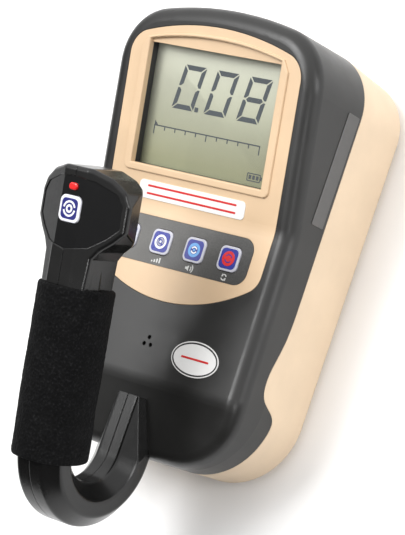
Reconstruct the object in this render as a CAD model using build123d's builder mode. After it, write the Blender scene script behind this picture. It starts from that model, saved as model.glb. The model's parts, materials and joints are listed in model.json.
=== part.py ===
from build123d import *

import os
from math import cos, radians, sin, tan

# A hand-held survey meter that lies on its flat back, face up: +Z is out of the face, +Y runs from
# the handle end to the display end, +X is to the right. The face bends along one line, the kink.
# Case heights are measured from the table, case lengths from the kink.

# ---------------------------------------------------------------- driving dimensions, millimetres
CASE_WIDTH = 113.4
CASE_TOP = 89.1  # kink to the crown of the display end
CASE_BOTTOM = 106.0  # kink to the handle end
KINK_Y = 27.15  # from the middle of the whole length
KINK_Z = 60.0
UPPER_TILT = 15.7  # display half of the face
LOWER_TILT = 2.1  # keypad half of the face
SLOPE_TILT = 17.0  # below the crease
CREASE = 74.5  # kink to the crease
FOOT_PROUD = 0.8
WALL = 3.0
DRAFT = 2.5
SPLIT_GAP = 0.25  # shadow line between the case halves
SPLIT_Z = 40.0  # widest level of the case
TOP_CORNER = 27.0
BOTTOM_CORNER = 34.0
FACE_ROUND = 6.5
BACK_ROUND = 8.0
KINK_ROUND = 20.0
CREASE_ROUND = 20.0
FIT = 0.3  # all round between pieces that move past each other

BEZEL_HALF = 47.4
BEZEL_FLANGE = 1.5
WINDOW_HALF = 36.5
WINDOW_LOW = 16.6  # up the display face from the kink
WINDOW_HIGH = 70.0
ARCH_HIGH = 75.4
RIM_HALF = 40.6
RIM_LOW = 13.3
RECESS = 5.5

KEY = 11.0
KEY_PITCH = 19.0
KEY_ROW = -15.3  # down the keypad face from the kink

CELL_RADIUS = 16.6
CELL_LENGTH = 61.0

GRIP_TILT = 15.0
TUBE = 24.8  # handle tube across its width
TUBE_DEPTH = 18.8
TUBE_FRONT = 12.4  # thumb face above the grip's axis
FRONT_CHAMFER = 5.8
REAR_CHAMFER = 6.6
TUBE_ROUND = 2.5
FOAM_RADIUS = 16.5
FOAM_TOP = -31.5  # along the grip from the thumb button
FOAM_BOTTOM = -104.5
BEND_RADIUS = 34.8
BEND_Y = -108.6
BEND_Z = 75.0
HEAD_FOLD = 25.0
HEAD_HALF = 24.5
HEAD_BACK = -10.5
HEAD_ROUND = 2.0
HANDLE_WALL = 2.2
ARM_END = -82.3
HALF_GAP = 0.15  # each handle half stops this short of the middle
LEAD_RADIUS = 1.6
LEAD_DEPTH = 4.2  # from the outer line of the handle to the lead
BOARD = 1.6

# ---------------------------------------------------------------- working planes
PLAN = Plane(origin=(0, KINK_Y, 0), x_dir=(1, 0, 0), z_dir=(0, 0, 1))
SIDE = Plane(origin=(0, KINK_Y, 0), x_dir=(0, 1, 0), z_dir=(1, 0, 0))


def tilted(y, z, angle):
    """A plane that faces up and leans towards the handle end by angle."""
    lean = radians(angle)
    return Plane(origin=(0, KINK_Y + y, z), x_dir=(1, 0, 0), z_dir=(0, -sin(lean), cos(lean)))


UPPER = tilted(0, KINK_Z, UPPER_TILT)
LOWER = tilted(0, KINK_Z, LOWER_TILT)
CREASE_Z = KINK_Z - CREASE * tan(radians(LOWER_TILT))
SLOPE = tilted(-CREASE, CREASE_Z, SLOPE_TILT)
LEAN = radians(GRIP_TILT)
BEND_TOP_Y = BEND_Y - BEND_RADIUS * sin(LEAN)
BEND_TOP_Z = BEND_Z + BEND_RADIUS * cos(LEAN)
BUTTON_Y = -21.7
BUTTON_Z = BEND_TOP_Z + (BUTTON_Y - BEND_TOP_Y) * tan(LEAN)
GRIP = tilted(BUTTON_Y + TUBE_FRONT * sin(LEAN), BUTTON_Z - TUBE_FRONT * cos(LEAN), GRIP_TILT)
ALONG_GRIP = Plane(origin=GRIP.origin, x_dir=GRIP.x_dir, z_dir=-GRIP.y_dir)


# ---------------------------------------------------------------- the form of the case
def lone_edges(faces):
    """The edges that bound a group of faces from outside."""
    edges = [edge for face in faces for edge in face.edges()]
    return [e for e in edges if sum(e.is_same(other) for other in edges) == 1]


def plan_outline(inset):
    """The widest outline of the case, seen from above and drawn in by inset."""
    half = CASE_WIDTH / 2
    shoulder = CASE_TOP - 9
    with BuildSketch(PLAN.offset(SPLIT_Z)) as outline:
        with BuildLine():
            ThreePointArc((half, shoulder), (0, CASE_TOP), (-half, shoulder))
            Polyline(
                (-half, shoulder), (-half, -CASE_BOTTOM), (half, -CASE_BOTTOM), (half, shoulder)
            )
        make_face()
        fillet(outline.vertices().group_by(Axis.Y)[-1], TOP_CORNER)
        fillet(outline.vertices().group_by(Axis.Y)[0], BOTTOM_CORNER)
        if inset:
            offset(amount=-inset)
    return outline.sketch


def case_form(inset):
    """The case as one solid block, drawn in by inset all round."""
    widest = plan_outline(inset)
    reach = 150
    upper_end = KINK_Z + reach * tan(radians(UPPER_TILT))
    slope_end = CREASE_Z - (reach - CREASE) * tan(radians(SLOPE_TILT))
    with BuildPart() as form:
        extrude(widest, amount=60, taper=DRAFT)
        extrude(widest, amount=-SPLIT_Z, taper=DRAFT)
        with BuildSketch(SIDE) as profile:
            with BuildLine():
                Polyline(
                    (-reach, FOOT_PROUD),
                    (reach, FOOT_PROUD),
                    (reach, upper_end),
                    (0, KINK_Z),
                    (-CREASE, CREASE_Z),
                    (-reach, slope_end),
                    close=True,
                )
            make_face()
            fillet(profile.vertices().filter_by(lambda v: abs(v.Y - KINK_Z) < 0.1), KINK_ROUND)
            fillet(profile.vertices().filter_by(lambda v: abs(v.Y - CREASE_Z) < 0.1), CREASE_ROUND)
            if inset:
                offset(amount=-inset, kind=Kind.INTERSECTION)
        extrude(amount=CASE_WIDTH, both=True, mode=Mode.INTERSECT)
        tops = form.faces().filter_by(lambda f: f.normal_at().Z > 0.5)
        fillet(lone_edges(tops), FACE_ROUND - inset)
        backs = form.faces().filter_by(lambda f: f.normal_at().Z < -0.9)
        fillet(lone_edges(backs), BACK_ROUND - inset)
    return form.part


def below_split(lift):
    """All the space below the line where the two case halves meet, raised by lift."""
    run_z = 39.6 + lift
    end_z = 29.6 + lift
    with BuildPart() as space:
        with BuildSketch(SIDE):
            with BuildLine():
                Line((120, run_z + 1.6), (-28, run_z))
                Spline(
                    (-28, run_z),
                    (-47, 41.7 + lift),
                    (-60, 44.2 + lift),
                    (-67, 42.2 + lift),
                    (-70.5, 36.6 + lift),
                    (-74, 31 + lift),
                    (-82, end_z),
                    tangents=((-1, 0), (-1, 0)),
                )
                Polyline((-82, end_z), (-130, end_z), (-130, -20), (120, -20), (120, run_z + 1.6))
            make_face()
        extrude(amount=80, both=True)
    return space.part


def bezel_prism(grow):
    """A tall block with the outline of the light insert in the face, grown by grow."""
    with BuildPart() as prism:
        with BuildSketch(PLAN.offset(SPLIT_Z)) as outline:
            with BuildLine():
                top = ThreePointArc((BEZEL_HALF, 69.5), (0, 77.9), (-BEZEL_HALF, 69.5))
                low = ThreePointArc((-BEZEL_HALF, -24.2), (0, -40.2), (BEZEL_HALF, -24.2))
                Line(top @ 1, low @ 0)
                Line(low @ 1, top @ 0)
            make_face()
            fillet(outline.vertices().group_by(Axis.Y)[-1], 11)
            fillet(outline.vertices().group_by(Axis.Y)[0], 9)
            offset(amount=grow)
        extrude(amount=60)
    return prism.part


def block(plane, size, centre=(0, 0), corner=0.0):
    """A flat piece that stands up from a plane: size is (x, y, height)."""
    with BuildPart() as piece:
        with BuildSketch(plane):
            with Locations(centre):
                if corner:
                    RectangleRounded(size[0], size[1], corner)
                else:
                    Rectangle(size[0], size[1])
        extrude(amount=size[2])
    return piece.part


def rods(plane, places, radius, height):
    """Round posts that stand up from a plane."""
    with BuildPart() as piece:
        with BuildSketch(plane):
            with Locations(*places):
                Circle(radius)
        extrude(amount=height)
    return piece.part


# ---------------------------------------------------------------- handle forms
def grip_point(along, up):
    """A point of the grip, by its place along the grip and above its axis, on the SIDE plane."""
    y = GRIP.origin.Y - KINK_Y + along * cos(LEAN) - up * sin(LEAN)
    return (y, GRIP.origin.Z + along * sin(LEAN) + up * cos(LEAN))


def bend_point(radius, angle):
    """A point of the bend, by its distance from the bend's centre and its angle, on SIDE."""
    turn = radians(angle)
    return (BEND_Y + radius * cos(turn), BEND_Z + radius * sin(turn))


def tube_form(inset):
    """The bent handle tube as one solid, drawn in by inset: the grip, the bend and the arm."""
    axis = BEND_RADIUS - TUBE_FRONT
    head_end = -5.5
    half = TUBE / 2
    rear = TUBE_FRONT - TUBE_DEPTH
    with BuildPart() as form:
        with BuildLine(SIDE):
            Line(grip_point(head_end, 0), bend_point(axis, 90 + GRIP_TILT))
            ThreePointArc(
                bend_point(axis, 90 + GRIP_TILT), bend_point(axis, 180), bend_point(axis, 270)
            )
            Line(bend_point(axis, 270), (ARM_END, BEND_Z - axis))
        with BuildSketch(ALONG_GRIP.offset(-head_end)) as section:
            with BuildLine():
                Polyline(
                    (half, rear + REAR_CHAMFER),
                    (half, TUBE_FRONT - FRONT_CHAMFER),
                    (half - FRONT_CHAMFER, TUBE_FRONT),
                    (FRONT_CHAMFER - half, TUBE_FRONT),
                    (-half, TUBE_FRONT - FRONT_CHAMFER),
                    (-half, rear + REAR_CHAMFER),
                    (REAR_CHAMFER - half, rear),
                    (half - REAR_CHAMFER, rear),
                    close=True,
                )
            make_face()
            if inset:
                offset(amount=-inset, kind=Kind.INTERSECTION)
            else:
                fillet(section.vertices(), TUBE_ROUND)
        sweep()
    return form.part


def arm_trim():
    """What is trimmed off the right side of the arm, so that it narrows towards its end."""
    arm_top = BEND_Z - BEND_RADIUS + TUBE_DEPTH
    edge = (TUBE / 2 - REAR_CHAMFER, KINK_Y + ARM_END, arm_top)
    with BuildPart() as piece:
        add(block(Plane(origin=edge, z_dir=(0.951, 0.165, 0.261)), (160, 160, 30)))
        add(block(PLAN.offset(35), (60, 32, arm_top - 35), (0, -96)), mode=Mode.INTERSECT)
    return piece.part


def head_section(inset):
    """The folded cross-section of the head, run along the grip and drawn in by inset."""
    fold_drop = (HEAD_HALF - 6) * tan(radians(HEAD_FOLD))
    with BuildPart() as prism:
        with BuildSketch(ALONG_GRIP) as section:
            with BuildLine():
                Polyline(
                    (6, TUBE_FRONT),
                    (-6, TUBE_FRONT),
                    (-HEAD_HALF, TUBE_FRONT - fold_drop),
                    (-20.7, -7),
                    (-17, HEAD_BACK),
                    (17, HEAD_BACK),
                    (20.7, -7),
                    (HEAD_HALF, TUBE_FRONT - fold_drop),
                    close=True,
                )
            make_face()
            if inset:
                offset(amount=-inset, kind=Kind.INTERSECTION)
            else:
                fillet(section.vertices().filter_by(lambda v: abs(v.X) > 20), 2.5)
        extrude(amount=60, both=True)
    return prism.part


HEAD_OUTLINE = [
    (11.8, -36),
    (12.6, -18.8),
    (15.2, -15),
    (19.8, -10.8),
    (24.3, -5.5),
    (HEAD_HALF, 3.5),
    (21.5, 10.6),
    (15.5, 15.2),
    (7, 17.8),
]
PLATE_OUTLINE = [(0, -16.4), (10.6, -14.2), (17.2, -9.3), (21.3, -4.8), (21.3, 4.6), (18.6, 9.0)]
PLATE_OUTLINE += [(9.6, 12.6), (0, 13.6)]


def head_prism(right, low, radius, inset):
    """The outline of the head or its plate, seen from the thumb side and drawn in by inset. Its
    corners above low are rounded."""
    left = [(-x, y) for x, y in reversed(right) if x]
    with BuildPart() as prism:
        with BuildSketch(GRIP.offset(-TUBE)) as outline:
            with BuildLine():
                Polyline(*right, *left, close=True)
            make_face()
            fillet(outline.vertices().filter_by(lambda v: v.Y > low), radius)
            if inset:
                offset(amount=-inset, kind=Kind.INTERSECTION)
        extrude(amount=2 * TUBE)
    return prism.part


def head_form(inset):
    """The head as one solid, with its rear edge chamfered and drawn in by inset."""
    with BuildPart() as form:
        add(head_prism(HEAD_OUTLINE, -18, 5, inset))
        split(bisect_by=GRIP.offset(HEAD_BACK + inset))
        rear_face = form.faces().sort_by(Axis((0, 0, 0), GRIP.z_dir))[0]
        chamfer(rear_face.edges(), 2.6 - 0.586 * inset)
        add(head_section(inset), mode=Mode.INTERSECT)
        if not inset:
            thumb_side = [f for f in form.faces() if f.normal_at().dot(GRIP.z_dir) > 0.5]
            fillet(lone_edges(thumb_side), HEAD_ROUND)
    return form.part


# ---------------------------------------------------------------- shared solids and places
os.makedirs("parts", exist_ok=True)
outer = case_form(0)
cavity = case_form(WALL)
deep = case_form(WALL + BEZEL_FLANGE)
lower_space = below_split(0)

INNER_BACK = FOOT_PROUD + WALL
BEZEL_BACK = WALL + BEZEL_FLANGE
CASE_SCREWS = [(x, y) for x, y in ((30, 79.5), (47.5, -44), (33, -93.6))]
CASE_SCREWS += [(-x, y) for x, y in CASE_SCREWS]
SCREW_POST = 3.6
SCREW_HEAD = 2.6
CASE_SCREW_TIP = 46.0
FEET = [(x, y) for x in (-41.5, 41.5) for y in (-76, 56)]
FOOT_RADIUS = 4.5
LEAD_Z = BEND_Z - (BEND_RADIUS - LEAD_DEPTH)
END = Plane(origin=(0, KINK_Y - CASE_BOTTOM + WALL, LEAD_Z), x_dir=(1, 0, 0), z_dir=(0, -1, 0))
LEAD_BORE = 2.4
CLAMP_SCREWS = [(-5, -14.5), (5, -14.5)]
CLAMP_THICK = 1.5
SPEAKER = [(0.0, -58.6)]
SPEAKER_RADIUS = 14.0
DOOR = (71.0, 70.0)
DOOR_Y = -53.0
DOOR_THICK = 2.2
HINGE_RADIUS = 1.35
HINGE_Y = DOOR_Y + DOOR[1] / 2 + 1.6
HINGE_PIN = 0.65
HINGE = Plane(
    origin=(0, KINK_Y + HINGE_Y, FOOT_PROUD + HINGE_RADIUS), x_dir=(0, 1, 0), z_dir=(1, 0, 0)
)
KEYS = [
    ("power_key", -1.5 * KEY_PITCH),
    ("units_key", -0.5 * KEY_PITCH),
    ("audio_key", 0.5 * KEY_PITCH),
    ("mode_key", 1.5 * KEY_PITCH),
]
KEY_HOLE = KEY + 2 * FIT
DISPLAY_POSTS = [(x, y) for x in (-43.4, 43.4) for y in (19, 60)]
DISPLAY_POST_RADIUS = 1.8
SWITCH_POSTS = [(x, y) for x in (-40.5, 40.5) for y in (-6.5, -25)]
BOARD_POSTS = [(x, y) for x in (-38, 38) for y in (-4, 44)]
BOARD_Z = 42.0

# ---------------------------------------------------------------- case
with BuildPart() as split_band:
    add(lower_space)
    add(below_split(-1.2), mode=Mode.SUBTRACT)

with BuildPart() as case_gasket:
    extrude(plan_outline(1.0), amount=20, both=True)
    extrude(plan_outline(2.1), amount=20, both=True, mode=Mode.SUBTRACT)
    add(split_band.part, mode=Mode.INTERSECT)
case_gasket.part.label = "case_gasket"
export_step(case_gasket.part, "parts/case_gasket.step")

with BuildPart() as front_case:
    add(outer)
    add(cavity, mode=Mode.SUBTRACT)
    add(rods(PLAN.offset(SPLIT_Z - 15), CASE_SCREWS, SCREW_POST, 60))
    add(rods(LOWER.offset(-WALL - 6), SPEAKER, SPEAKER_RADIUS + 1.5, 7))
    add(rods(LOWER.offset(-WALL - 6), SPEAKER, SPEAKER_RADIUS, 6), mode=Mode.SUBTRACT)
    add(outer, mode=Mode.INTERSECT)
    add(lower_space, mode=Mode.SUBTRACT)
    add(bezel_prism(0), mode=Mode.SUBTRACT)
    add(rods(PLAN, CASE_SCREWS, 1.3, CASE_SCREW_TIP), mode=Mode.SUBTRACT)
    add(rods(END.offset(-6), [(0, 0)], LEAD_BORE, 12), mode=Mode.SUBTRACT)
    add(rods(SLOPE.offset(-WALL - 1), CLAMP_SCREWS, 1.3, WALL + 2), mode=Mode.SUBTRACT)
    with BuildSketch(LOWER):
        with Locations(*SPEAKER):
            with PolarLocations(2.1, 3, start_angle=90):
                Circle(0.9)
    extrude(amount=-WALL - 2, mode=Mode.SUBTRACT)
front_case.part.label = "front_case"
export_step(front_case.part, "parts/front_case.step")

with BuildPart() as rear_case:
    add(outer)
    add(cavity, mode=Mode.SUBTRACT)
    add(rods(PLAN.offset(FOOT_PROUD), CASE_SCREWS, SCREW_POST, 60))
    add(outer, mode=Mode.INTERSECT)
    add(below_split(-SPLIT_GAP), mode=Mode.INTERSECT)
    add(case_gasket.part, mode=Mode.SUBTRACT)
    add(rods(PLAN, CASE_SCREWS, 1.7, 60), mode=Mode.SUBTRACT)
    add(rods(PLAN, CASE_SCREWS, SCREW_HEAD + 0.2, 14), mode=Mode.SUBTRACT)
    add(rods(PLAN, FEET, FOOT_RADIUS, FOOT_PROUD + 1), mode=Mode.SUBTRACT)
    opening = (DOOR[0] + 2 * FIT, DOOR[1] + 2 * FIT, 10)
    add(block(PLAN, opening, (0, DOOR_Y)), mode=Mode.SUBTRACT)
    add(block(PLAN, (opening[0], 5, 10), (0, HINGE_Y - 0.7)), mode=Mode.SUBTRACT)
    add(rods(HINGE.offset(-DOOR[0] / 2 - 4), [(0, 0)], HINGE_PIN, DOOR[0] + 8), mode=Mode.SUBTRACT)
rear_case.part.label = "rear_case"
export_step(rear_case.part, "parts/rear_case.step")

with BuildPart() as rubber_feet:
    add(rods(PLAN, FEET, FOOT_RADIUS, FOOT_PROUD + 1))
    fillet(rubber_feet.faces().group_by(Axis.Z)[0].edges(), 0.5)
rubber_feet.part.label = "rubber_feet"
export_step(rubber_feet.part, "parts/rubber_feet.step")

with BuildPart() as case_screws:
    add(rods(PLAN.offset(11.6), CASE_SCREWS, SCREW_HEAD, 2.4))
    with BuildSketch(PLAN.offset(11.6)):
        with Locations(*CASE_SCREWS):
            RegularPolygon(1.3, 6)
    extrude(amount=1.4, mode=Mode.SUBTRACT)
    add(rods(PLAN.offset(14), CASE_SCREWS, 1.3, CASE_SCREW_TIP - 14))
case_screws.part.label = "case_screws"
export_step(case_screws.part, "parts/case_screws.step")


# ---------------------------------------------------------------- light insert and display
def window_block(grow, low, high):
    """The arched window outline as a block between two levels of the display face."""
    side_top = 71.3
    with BuildPart() as piece:
        with BuildSketch(UPPER.offset(low)):
            with BuildLine():
                ThreePointArc((WINDOW_HALF, side_top), (0, ARCH_HIGH), (-WINDOW_HALF, side_top))
                Polyline(
                    (-WINDOW_HALF, side_top),
                    (-WINDOW_HALF, WINDOW_LOW),
                    (WINDOW_HALF, WINDOW_LOW),
                    (WINDOW_HALF, side_top),
                )
            make_face()
            if grow:
                offset(amount=grow)
        extrude(amount=high - low)
    return piece.part


def display_block(margin, shallow, deepest):
    """A flat rectangular piece behind the window, wider than it by margin, between two depths."""
    width = 2 * (WINDOW_HALF + margin)
    height = WINDOW_HIGH - WINDOW_LOW + 2 * margin
    centre = (0, (WINDOW_HIGH + WINDOW_LOW) / 2)
    return block(UPPER.offset(-deepest), (width, height, deepest - shallow), centre)


with BuildPart() as bezel_flange:
    add(cavity)
    add(deep, mode=Mode.SUBTRACT)
    add(bezel_prism(1.8), mode=Mode.INTERSECT)

with BuildPart() as window_rim:
    with BuildSketch(UPPER.offset(-0.5)) as rim_outline:
        with BuildLine():
            ThreePointArc((RIM_HALF - 3, 72.3), (0, ARCH_HIGH + 1.4), (3 - RIM_HALF, 72.3))
            Polyline(
                (3 - RIM_HALF, 72.3),
                (-RIM_HALF, 67),
                (-RIM_HALF, RIM_LOW),
                (RIM_HALF, RIM_LOW),
                (RIM_HALF, 67),
                (RIM_HALF - 3, 72.3),
            )
        make_face()
        fillet(rim_outline.vertices().group_by(Axis.Y)[0], 3)
    extrude(amount=1.5)
    add(window_block(0, -1.0, 3.0), mode=Mode.SUBTRACT)
    rim_top = window_rim.faces().sort_by(Axis((0, 0, 0), UPPER.z_dir))[-1]
    fillet(rim_top.edges(), 0.6)

with BuildPart() as display_bezel:
    add(outer)
    add(cavity, mode=Mode.SUBTRACT)
    add(bezel_prism(-0.2), mode=Mode.INTERSECT)
    add(bezel_flange.part)
    add(rods(UPPER.offset(-12.2), DISPLAY_POSTS, DISPLAY_POST_RADIUS, 12.2 - WALL))
    add(rods(LOWER.offset(-7), SWITCH_POSTS, 1.6, 7 - WALL))
    add(window_block(0, -1.0, 3.0), mode=Mode.SUBTRACT)
    add(display_block(0, -3.0, 20), mode=Mode.SUBTRACT)
    add(display_block(1.5, 2.0, 20), mode=Mode.SUBTRACT)
    add(window_rim.part)
    add(
        block(LOWER.offset(-0.6), (79.4, 20.9, 5), (0, KEY_ROW), corner=6),
        mode=Mode.SUBTRACT,
    )
    for _, x in KEYS:
        add(
            block(LOWER.offset(-10), (KEY_HOLE, KEY_HOLE, 20), (x, KEY_ROW), corner=2.9),
            mode=Mode.SUBTRACT,
        )
    add(rods(UPPER.offset(-12.2), DISPLAY_POSTS, 0.9, 7), mode=Mode.SUBTRACT)
    add(rods(LOWER.offset(-7), SWITCH_POSTS, 0.8, 4), mode=Mode.SUBTRACT)
display_bezel.part.label = "display_bezel"
export_step(display_bezel.part, "parts/display_bezel.step")

with BuildPart() as lcd_frame:
    add(display_block(1.5, 2.0, RECESS))
    add(display_block(4.6, BEZEL_BACK, 12.2))
    add(display_block(3.2, RECESS, 20), mode=Mode.SUBTRACT)
    add(display_block(0, -1, 20), mode=Mode.SUBTRACT)
lcd_frame.part.label = "lcd_frame"
export_step(lcd_frame.part, "parts/lcd_frame.step")

with BuildPart() as lcd_window:
    add(display_block(3.2, RECESS, RECESS + 1.5))
lcd_window.part.label = "lcd_window"
export_step(lcd_window.part, "parts/lcd_window.step")

with BuildPart() as lcd_panel:
    add(display_block(2.8, RECESS + 1.5, 9.2))
lcd_panel.part.label = "lcd_panel"
export_step(lcd_panel.part, "parts/lcd_panel.step")

with BuildPart() as backlight:
    add(display_block(-1.5, 9.2, 12.2))
backlight.part.label = "backlight"
export_step(backlight.part, "parts/backlight.step")

with BuildPart() as zebra_strips:
    add(display_block(2.4, 9.2, 12.2))
    add(block(UPPER.offset(-20), (100, 55.2, 30), (0, 43.3)), mode=Mode.SUBTRACT)
zebra_strips.part.label = "zebra_strips"
export_step(zebra_strips.part, "parts/zebra_strips.step")

with BuildPart() as display_board:
    add(block(UPPER.offset(-12.2 - BOARD), (93, 62.4, BOARD), (0, 42.4), corner=2))
    add(rods(UPPER.offset(-15), DISPLAY_POSTS, 0.9, 5), mode=Mode.SUBTRACT)
display_board.part.label = "display_board"
export_step(display_board.part, "parts/display_board.step")

with BuildPart() as name_label:
    add(block(UPPER, (59.4, 8.0, 0.3), (0, 6.1), corner=2))
    add(outer, mode=Mode.SUBTRACT)
name_label.part.label = "name_label"
export_step(name_label.part, "parts/name_label.step")

with BuildPart() as oval_label:
    with BuildSketch(LOWER):
        with Locations((27.3, -60.5)):
            Ellipse(12.7, 7.7)
    extrude(amount=0.3)
oval_label.part.label = "oval_label"
export_step(oval_label.part, "parts/oval_label.step")

SIDE_WALL = Plane(
    origin=(CASE_WIDTH / 2 - 6 * tan(radians(DRAFT)), KINK_Y + 34.3, SPLIT_Z + 6),
    x_dir=(0, 1, 0),
    z_dir=(cos(radians(DRAFT)), 0, sin(radians(DRAFT))),
)
with BuildPart() as side_label:
    add(block(SIDE_WALL.offset(-1), (50.4, 8.2, 1.25), corner=0.6))
    add(outer, mode=Mode.SUBTRACT)
side_label.part.label = "side_label"
export_step(side_label.part, "parts/side_label.step")

# ---------------------------------------------------------------- keypad
with BuildPart() as keypad_overlay:
    add(block(LOWER.offset(-0.6), (79.2, 20.7, 0.75), (0, KEY_ROW), corner=5.9))
    for _, x in KEYS:
        add(
            block(LOWER.offset(-2), (KEY_HOLE, KEY_HOLE, 5), (x, KEY_ROW), corner=2.9),
            mode=Mode.SUBTRACT,
        )
keypad_overlay.part.label = "keypad_overlay"
export_step(keypad_overlay.part, "parts/keypad_overlay.step")

for key_name, x in KEYS:
    with BuildPart() as key:
        add(block(LOWER.offset(-5.2), (KEY, KEY, 6.0), (x, KEY_ROW), corner=2.6))
        key_top = key.faces().sort_by(Axis((0, 0, 0), LOWER.z_dir))[-1]
        fillet(key_top.edges(), 0.4)
        add(block(LOWER.offset(-5.6), (KEY + 2, KEY + 2, 0.8), (x, KEY_ROW), corner=3))
        add(rods(LOWER.offset(-6.1), [(x, KEY_ROW)], 1.5, 1))
    key.part.label = key_name
    export_step(key.part, f"parts/{key_name}.step")

with BuildPart() as key_domes:
    for _, x in KEYS:
        add(rods(LOWER.offset(-7), [(x, KEY_ROW)], 4, 0.15))
        add(rods(LOWER.offset(-7), [(x, KEY_ROW)], 2.6, 0.32))
key_domes.part.label = "key_domes"
export_step(key_domes.part, "parts/key_domes.step")

with BuildPart() as switch_board:
    add(block(LOWER.offset(-7 - BOARD), (86, 25, BOARD), (0, -15.7), corner=2))
    add(rods(LOWER.offset(-10), SWITCH_POSTS, 0.8, 5), mode=Mode.SUBTRACT)
switch_board.part.label = "switch_board"
export_step(switch_board.part, "parts/switch_board.step")

# ---------------------------------------------------------------- electronics
with BuildPart() as speaker:
    add(rods(LOWER.offset(-6), SPEAKER, SPEAKER_RADIUS - 0.1, 2.8))
    add(rods(LOWER.offset(-9.4), SPEAKER, 9, 4))
speaker.part.label = "speaker"
export_step(speaker.part, "parts/speaker.step")

with BuildPart() as main_board:
    add(block(PLAN.offset(BOARD_Z), (84, 58, BOARD), (0, 20), corner=2))
    add(rods(PLAN.offset(BOARD_Z - 1), BOARD_POSTS, 1.2, 5), mode=Mode.SUBTRACT)
main_board.part.label = "main_board"
export_step(main_board.part, "parts/main_board.step")

with BuildPart() as board_components:
    top = PLAN.offset(BOARD_Z + BOARD)
    for size, centre in [
        ((14, 14, 1.6), (4, 24)),
        ((10, 8, 1.8), (24, 30)),
        ((22, 5, 4.5), (0, -4)),
        ((18, 6, 3.5), (-18, 12)),
        ((6, 12, 2.2), (26, 10)),
    ]:
        add(block(top, size, centre))
    add(rods(top, [(-28, 30), (-20, 30), (-12, 30)], 2.6, 4.5))
board_components.part.label = "board_components"
export_step(board_components.part, "parts/board_components.step")

with BuildPart() as board_standoffs:
    add(rods(PLAN.offset(INNER_BACK), BOARD_POSTS, 2.8, BOARD_Z - INNER_BACK))
    add(rods(PLAN.offset(BOARD_Z - 6), BOARD_POSTS, 1.2, 6), mode=Mode.SUBTRACT)
board_standoffs.part.label = "board_standoffs"
export_step(board_standoffs.part, "parts/board_standoffs.step")

with BuildPart() as board_screws:
    add(rods(PLAN.offset(BOARD_Z + BOARD), BOARD_POSTS, 2.4, 1.5))
    add(rods(PLAN.offset(BOARD_Z - 4), BOARD_POSTS, 1.2, 6))
    add(rods(UPPER.offset(-15), DISPLAY_POSTS, 1.8, 1.2))
    add(rods(UPPER.offset(-14), DISPLAY_POSTS, 0.9, 7))
    add(rods(LOWER.offset(-9.7), SWITCH_POSTS, 1.6, 1.1))
    add(rods(LOWER.offset(-9), SWITCH_POSTS, 0.8, 4.5))
board_screws.part.label = "board_screws"
export_step(board_screws.part, "parts/board_screws.step")

with BuildPart() as high_voltage_module:
    add(block(PLAN.offset(INNER_BACK), (44, 30, 18), (-8, 8)))
    fillet(high_voltage_module.edges().filter_by(Axis.Z), 2)
high_voltage_module.part.label = "high_voltage_module"
export_step(high_voltage_module.part, "parts/high_voltage_module.step")

TUBE_LINE = Plane(origin=(-43, KINK_Y + 60, 20), x_dir=(0, 1, 0), z_dir=(1, 0, 0))
with BuildPart() as detector_tube:
    add(rods(TUBE_LINE, [(0, 0)], 8, 86))
    add(rods(TUBE_LINE.offset(-4), [(0, 0)], 1.2, 94))
detector_tube.part.label = "detector_tube"
export_step(detector_tube.part, "parts/detector_tube.step")

with BuildPart() as tube_shield:
    add(rods(TUBE_LINE.offset(13), [(0, 0)], 9.5, 60))
    add(rods(TUBE_LINE.offset(13), [(0, 0)], 8, 60), mode=Mode.SUBTRACT)
tube_shield.part.label = "tube_shield"
export_step(tube_shield.part, "parts/tube_shield.step")

with BuildPart() as tube_clips:
    for start in (2, 76):
        add(block(PLAN.offset(INNER_BACK), (8, 20, 20), (start + 4 - 43, 60)))
    add(rods(TUBE_LINE, [(0, 0)], 8, 86), mode=Mode.SUBTRACT)
tube_clips.part.label = "tube_clips"
export_step(tube_clips.part, "parts/tube_clips.step")

# ---------------------------------------------------------------- batteries and their door
BOX_HALF = (33.7, 33.5)
CELL_X = 16.8
CELL_Z = 21.0
BOX_TOP = 38.0
CELLS = Plane(origin=(0, KINK_Y + DOOR_Y - BOX_HALF[1], CELL_Z), x_dir=(1, 0, 0), z_dir=(0, 1, 0))

with BuildPart() as battery_box:
    wide = (2 * BOX_HALF[0] + 3.2, 2 * BOX_HALF[1] + 3.2, BOX_TOP + 1.6 - INNER_BACK)
    add(block(PLAN.offset(INNER_BACK), wide, (0, DOOR_Y)))
    add(block(PLAN.offset(INNER_BACK), (78, 76.2, 1.4), (0, DOOR_Y + 1.7)))
    hollow = (2 * BOX_HALF[0], 2 * BOX_HALF[1], BOX_TOP - INNER_BACK)
    add(block(PLAN.offset(INNER_BACK), hollow, (0, DOOR_Y)), mode=Mode.SUBTRACT)
battery_box.part.label = "battery_box"
export_step(battery_box.part, "parts/battery_box.step")

for cell_name, x in (("battery_left", -CELL_X), ("battery_right", CELL_X)):
    with BuildPart() as cell:
        add(rods(CELLS.offset(5.0), [(x, 0)], CELL_RADIUS, CELL_LENGTH - 1.5))
        fillet(cell.edges().filter_by(GeomType.CIRCLE), 1.2)
        add(rods(CELLS.offset(10), [(x, 0)], 4.6, CELL_LENGTH - 5.0))
    cell.part.label = cell_name
    export_step(cell.part, f"parts/{cell_name}.step")

with BuildPart() as battery_springs:
    for x in (-CELL_X, CELL_X):
        with BuildSketch(CELLS.offset(0.5)):
            with Locations((x, 0)):
                Circle(7.5)
        with BuildSketch(CELLS.offset(5.0)):
            with Locations((x, 0)):
                Circle(4)
        loft()
        add(rods(CELLS, [(x, 0)], 2.6, 6), mode=Mode.SUBTRACT)
battery_springs.part.label = "battery_springs"
export_step(battery_springs.part, "parts/battery_springs.step")

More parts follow.
